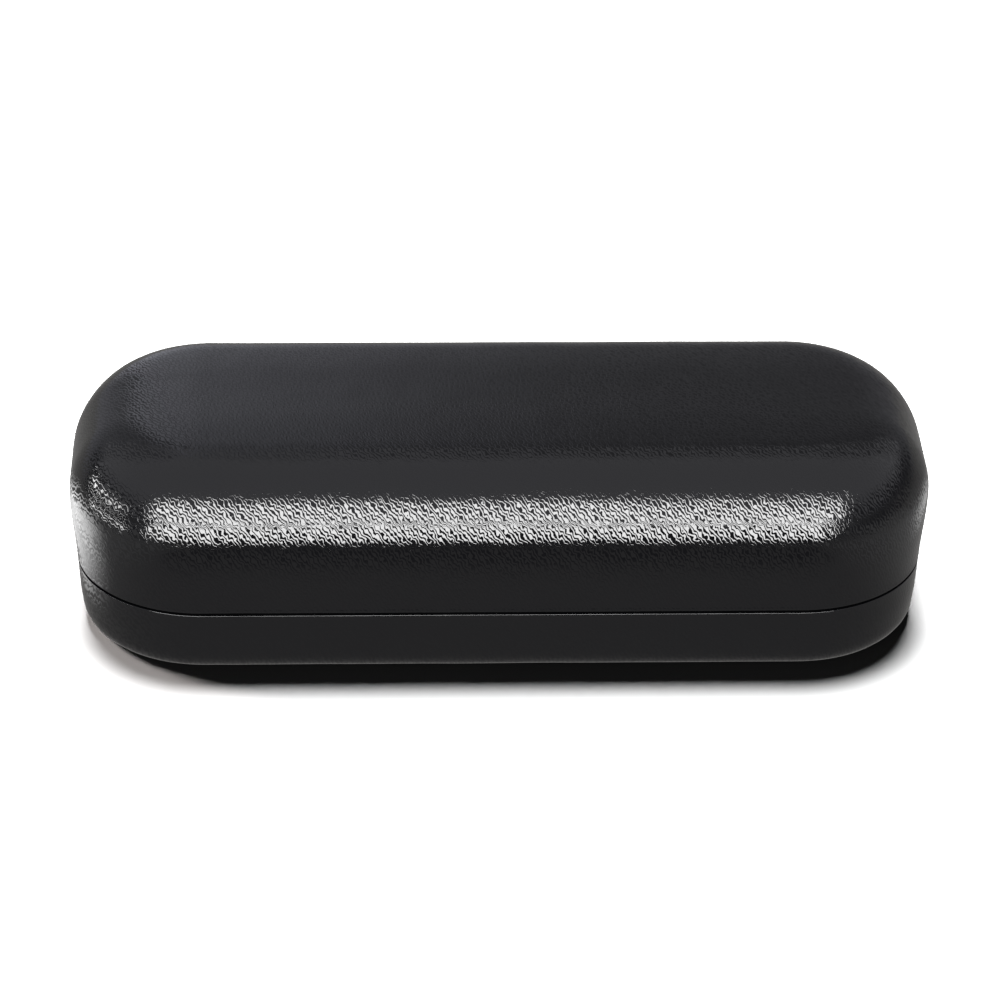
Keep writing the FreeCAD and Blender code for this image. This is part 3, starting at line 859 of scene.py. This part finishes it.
def tray_plastic():
    """Vacuum-formed black sheet: a faint orange-peel texture."""
    material, tree, shader, place = new_material("tray_plastic", (0.014, 0.014, 0.015), 0.45)
    peel = noise_texture(tree, place, 1.6)
    tree.links.new(remap(tree, peel, (0.3, 0.7), (0.38, 0.52)), shader.inputs["Roughness"])
    add_bump(tree, shader, peel, 0.03)
    return material


# Build


def place_piece(piece, body, slot, material, *nodes):
    """Gives a carried piece its finish and body, and hides the CAD nodes it stands for."""
    piece.data.materials.append(material)
    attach(piece, body)
    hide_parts(*nodes)


def repaint(names, material):
    """Gives carried-over CAD nodes a material."""
    for name in names:
        data = frame["nodes"][name].data
        data.materials.clear()
        data.materials.append(material)


def build_covers(material):
    """The leather of both halves."""
    lid_padding = Padding(LID_LIFT, LID_LIFT_REACH, LID_BEAD, LID_EDGE_R)
    base_padding = Padding(BASE_LIFT, BASE_LIFT_REACH, 0.0, BASE_EDGE_R)
    for name, half, flap, padding in (
        ("lid", LID, LID_FLAP, lid_padding),
        ("base", BASE, BASE_FLAP, base_padding),
    ):
        piece = carried_mesh(name + "_leather", half, cover_profile(half, flap, padding))
        uneven(piece, ((0.05, 14.0), (0.02, 4.5)))
        place_piece(piece, name, "black_leatherette", material, name + "_cover")


def build_linings(material):
    """The velvet of both halves."""
    for name, half, profile, body in (
        ("lid_velvet", LID, lid_velvet_profile(), "lid"),
        ("base_velvet", TRAY, base_velvet_profile(), "base"),
    ):
        piece = carried_mesh(name, half, profile)
        uneven(piece, ((0.12, 11.0), (0.05, 4.0)))
        place_piece(piece, body, "velvet", material, body + "_lining")


def build_padding(material):
    """Every foam piece: under the leather, in the base and under the lid's crown."""
    start = RIM + LEATHER_T + GLUE
    for name, half in (("lid", LID), ("base", BASE)):
        piece = carried_mesh(name + "_foam_skin", half, layer_profile(half, *PADDING, start))
        place_piece(piece, name, "backing_foam", material, name + "_padding")
    piece = carried_mesh("base_cushion", BASE, base_foam_profile())
    place_piece(piece, "base", "cushion_foam", material, "base_foam")
    piece = carried_mesh("crown_cushion", LID, crown_pad_profile())
    place_piece(piece, "lid", "cushion_foam", material, "lid_crown_pad")


def build_strip(material):
    """The velvet strip over the hinge, built in the closed case's shape with a bend in its middle."""
    piece = hinge_strip()
    piece.data.materials.append(material)
    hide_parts("hinge_gusset")
    path = strip_path()
    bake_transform(piece)


def build_springs(material):
    """The two torsion springs, built as fixed wire coils round the pin with a leg at each end."""
    for name, side in (("left", -1), ("right", 1)):
        path = spring_path(side)
        piece = tube(name + "_spring_wire", path, WIRE_R, SPRING_SIDES)
        piece.data.materials.append(material)
        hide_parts("hinge_spring_" + name)
        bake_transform(piece)


leather_material = leather()
velvet_material = velvet()
foam_material = foam()
build_covers(leather_material)
build_linings(velvet_material)
build_padding(foam_material)
build_strip(velvet_material)
build_springs(steel("spring_wire", (0.62, 0.62, 0.6), 0.24, 6.0))
repaint(("lid_shell", "base_shell"), steel("pressed_steel", (0.5, 0.51, 0.52), 0.38, 2.0))
repaint(
    ("hinge_leaf_lower", "hinge_leaf_upper", "hinge_rivets_lower", "hinge_rivets_upper"),
    steel("hinge_steel", (0.6, 0.6, 0.58), 0.33, 3.0),
)
repaint(("hinge_pin",), steel("pin_steel", (0.68, 0.68, 0.67), 0.2, 5.0))
repaint(("lid_tray", "base_tray"), tray_plastic())


# Stage


def stage_plane(name, corners, material):
    """A flat four-cornered sheet that is not part of the case."""
    data = bpy.data.meshes.new(name)
    data.from_pydata(corners, [], [(0, 1, 2, 3)])
    plane = bpy.data.objects.new(name, data)
    bpy.context.scene.collection.objects.link(plane)
    plane.data.materials.append(material)
    return plane


def emission_material(name):
    """A material that only glows, with its node tree and its emission node."""
    material = bpy.data.materials.new(name)
    material.use_nodes = True
    tree = material.node_tree
    tree.nodes.clear()
    output = tree.nodes.new("ShaderNodeOutputMaterial")
    glow = tree.nodes.new("ShaderNodeEmission")
    tree.links.new(glow.outputs["Emission"], output.inputs["Surface"])
    return material, tree, glow


def split_position(tree):
    """X, Y and Z of the shaded point in the scene."""
    place = tree.nodes.new("ShaderNodeNewGeometry")
    split = tree.nodes.new("ShaderNodeSeparateXYZ")
    tree.links.new(place.outputs["Position"], split.inputs["Vector"])
    return split.outputs


def painted_floor_glow(tree):
    """Painted light: the glow the floor gives off to all rays but the camera's, dim, darker beyond the front,
    and brighter in painted patches beside the two ends.
    """
    place = split_position(tree)
    front = remap(tree, place["Y"], FRONT_FADE)
    not_behind = remap(tree, place["Y"], BEHIND_FADE, (1.0, 0.0))
    across = math_node(tree, "ABSOLUTE", place["X"])
    far = remap(tree, across, FAR_FADE, (1.0, FAR_SHARE))
    beside = multiply(tree, remap(tree, across, SIDE_FADE), far, not_behind)
    shade = mix_colour(tree, front, PAINTED_GLOW_NEAR, PAINTED_GLOW_FRONT)
    shade = mix_colour(tree, beside, shade, PAINTED_GLOW_SIDE)
    for patch in PAINTED_LIGHT_PATCHES:
        along = multiply(tree, place["X"], patch.side)
        from_near = remap(tree, along, (patch.near, patch.near + PATCH_NEAR_FADE))
        to_far = remap(tree, along, (patch.far, patch.far + PATCH_FAR_FADE), (1.0, 0.0))
        from_front = remap(tree, place["Y"], (patch.front, patch.front + PATCH_FRONT_FADE))
        inside = multiply(tree, from_near, to_far, from_front, not_behind)
        shade = mix_colour(tree, inside, shade, patch.colour)
    return shade


def floor():
    """White paper that only the suns light as the camera sees it, so that the case's shadow is deep. To every
    other ray it glows with painted light instead.
    """
    material, tree, glow = emission_material("floor_paper_painted_glow")
    # Painted light: the glow that reflections and bounced light see in place of the lit paper
    tree.links.new(painted_floor_glow(tree), glow.inputs["Color"])
    paper = tree.nodes.new("ShaderNodeBsdfDiffuse")
    paper.inputs["Color"].default_value = (*[PAPER_ALBEDO] * 3, 1)
    path = tree.nodes.new("ShaderNodeLightPath")
    seen = tree.nodes.new("ShaderNodeMixShader")
    tree.links.new(path.outputs["Is Camera Ray"], seen.inputs[0])
    tree.links.new(glow.outputs["Emission"], seen.inputs[1])
    tree.links.new(paper.outputs["BSDF"], seen.inputs[2])
    tree.links.new(seen.outputs["Shader"], tree.nodes["Material Output"].inputs["Surface"])
    corners = ((-1, -1), (1, -1), (1, 1), (-1, 1))
    return stage_plane("floor", [(x * FLOOR_SIZE, y * FLOOR_SIZE, -FLOOR_DROP) for x, y in corners], material)


def floor_sun(paper, name, angle, elevation, azimuth, exposure, colour):
    """Sun that lights the paper alone. Angles are in degrees; azimuth 0 is straight behind."""
    data = bpy.data.lights.new(name, "SUN")
    data.angle = math.radians(angle)
    data.color = colour
    elevation, azimuth = math.radians(elevation), math.radians(azimuth)
    data.energy = exposure * math.pi / (PAPER_ALBEDO * math.sin(elevation))
    sun = bpy.data.objects.new(name, data)
    level = Vector((math.sin(azimuth), math.cos(azimuth), 0))
    towards = level * math.cos(elevation) + Vector((0, 0, math.sin(elevation)))
    sun.rotation_mode = "QUATERNION"
    sun.rotation_quaternion = (-towards).to_track_quat("-Z", "Y")
    bpy.context.scene.collection.objects.link(sun)
    receivers = bpy.data.collections.new(name + "_receivers")
    receivers.objects.link(paper)
    sun.light_linking.receiver_collection = receivers


def back_card():
    """Tall card behind the case that glows with painted light, brighter on the left as if lit from there,
    seen only in reflections.
    """
    material, tree, glow = emission_material("back_card")
    x = split_position(tree)["X"]
    to_right = remap(tree, x, (-0.26, 0.1), (1.0, 0.0))
    from_left = remap(tree, x, (-0.42, -0.2), (0.2, 1.0))
    shade = mix_colour(tree, multiply(tree, to_right, from_left), CARD_GLOW_RIGHT, CARD_GLOW_LEFT)
    tree.links.new(shade, glow.inputs["Color"])
    corners = ((-1, 0), (1, 0), (1, 1), (-1, 1))
    places = [(x * CARD_HALF_WIDTH, CARD_Y, z * CARD_HEIGHT) for x, z in corners]
    card = stage_plane("back_card", places, material)
    card.visible_camera = False
    card.visible_shadow = False


def softbox(name, place, target, width, height, radiance):
    """A rectangular light at a place, facing a target."""
    data = bpy.data.lights.new(name, "AREA")
    data.shape = "RECTANGLE"
    data.size, data.size_y = width, height
    data.energy = radiance * math.pi * width * height
    light = bpy.data.objects.new(name, data)
    light.location = place
    light.rotation_mode = "QUATERNION"
    light.rotation_quaternion = (Vector(target) - Vector(place)).to_track_quat("-Z", "Y")
    light.visible_camera = False
    bpy.context.scene.collection.objects.link(light)


def world():
    """White when seen directly, dim elsewhere, so that the softboxes shape the reflections."""
    sky = bpy.data.worlds.new("studio")
    bpy.context.scene.world = sky
    sky.use_nodes = True
    tree = sky.node_tree
    background = tree.nodes["Background"]
    path = tree.nodes.new("ShaderNodeLightPath")
    direction = tree.nodes.new("ShaderNodeTexCoord")
    split = tree.nodes.new("ShaderNodeSeparateXYZ")
    tree.links.new(direction.outputs["Generated"], split.inputs["Vector"])
    room = mix_colour(tree, remap(tree, split.outputs["Z"], ROOM_RISE), ROOM_LOW, ROOM_HIGH)
    colour = mix_colour(tree, path.outputs["Is Camera Ray"], room, (1, 1, 1))
    tree.links.new(colour, background.inputs["Color"])


def camera():
    """Long lens, from the front, above and a little to the left."""
    elevation, azimuth, roll = math.radians(29.56), math.radians(-2.12), math.radians(-0.78)
    distance = 0.8215
    target = Vector((0, 0, 0.02))
    level = Vector((math.sin(azimuth), -math.cos(azimuth), 0))
    back = level * math.cos(elevation) + Vector((0, 0, math.sin(elevation)))
    right = Vector((math.cos(azimuth), math.sin(azimuth), 0))
    up = back.cross(right)
    image_x = right * math.cos(roll) - up * math.sin(roll)
    image_y = right * math.sin(roll) + up * math.cos(roll)
    data = bpy.data.cameras.new("camera")
    data.lens = 155.9
    data.sensor_width = 36
    data.shift_x = 0.0016
    data.shift_y = -0.0036
    data.clip_start = 0.01
    eye = bpy.data.objects.new("camera", data)
    bpy.context.scene.collection.objects.link(eye)
    turn = Matrix((image_x, image_y, back)).transposed().to_4x4()
    eye.matrix_world = Matrix.Translation(target + back * distance) @ turn
    bpy.context.scene.camera = eye


paper = floor()
floor_sun(paper, "high_sun", angle=22.0, elevation=76.0, azimuth=-4.0, exposure=1.9, colour=(1, 1, 1))
floor_sun(paper, "left_sun", angle=16.0, elevation=30.0, azimuth=-62.0, exposure=0.28, colour=WARM_WHITE)
back_card()
world()
softbox("front_strip", (-0.1, -0.5, 0.15), (-0.1, 0, 0.15), width=0.92, height=0.235, radiance=20)
softbox("left_strip", (-0.65, -0.05, 0.02), (0, -0.05, 0.02), width=0.5, height=0.04, radiance=16)
camera()
bpy.context.scene.view_settings.view_transform = "Standard"
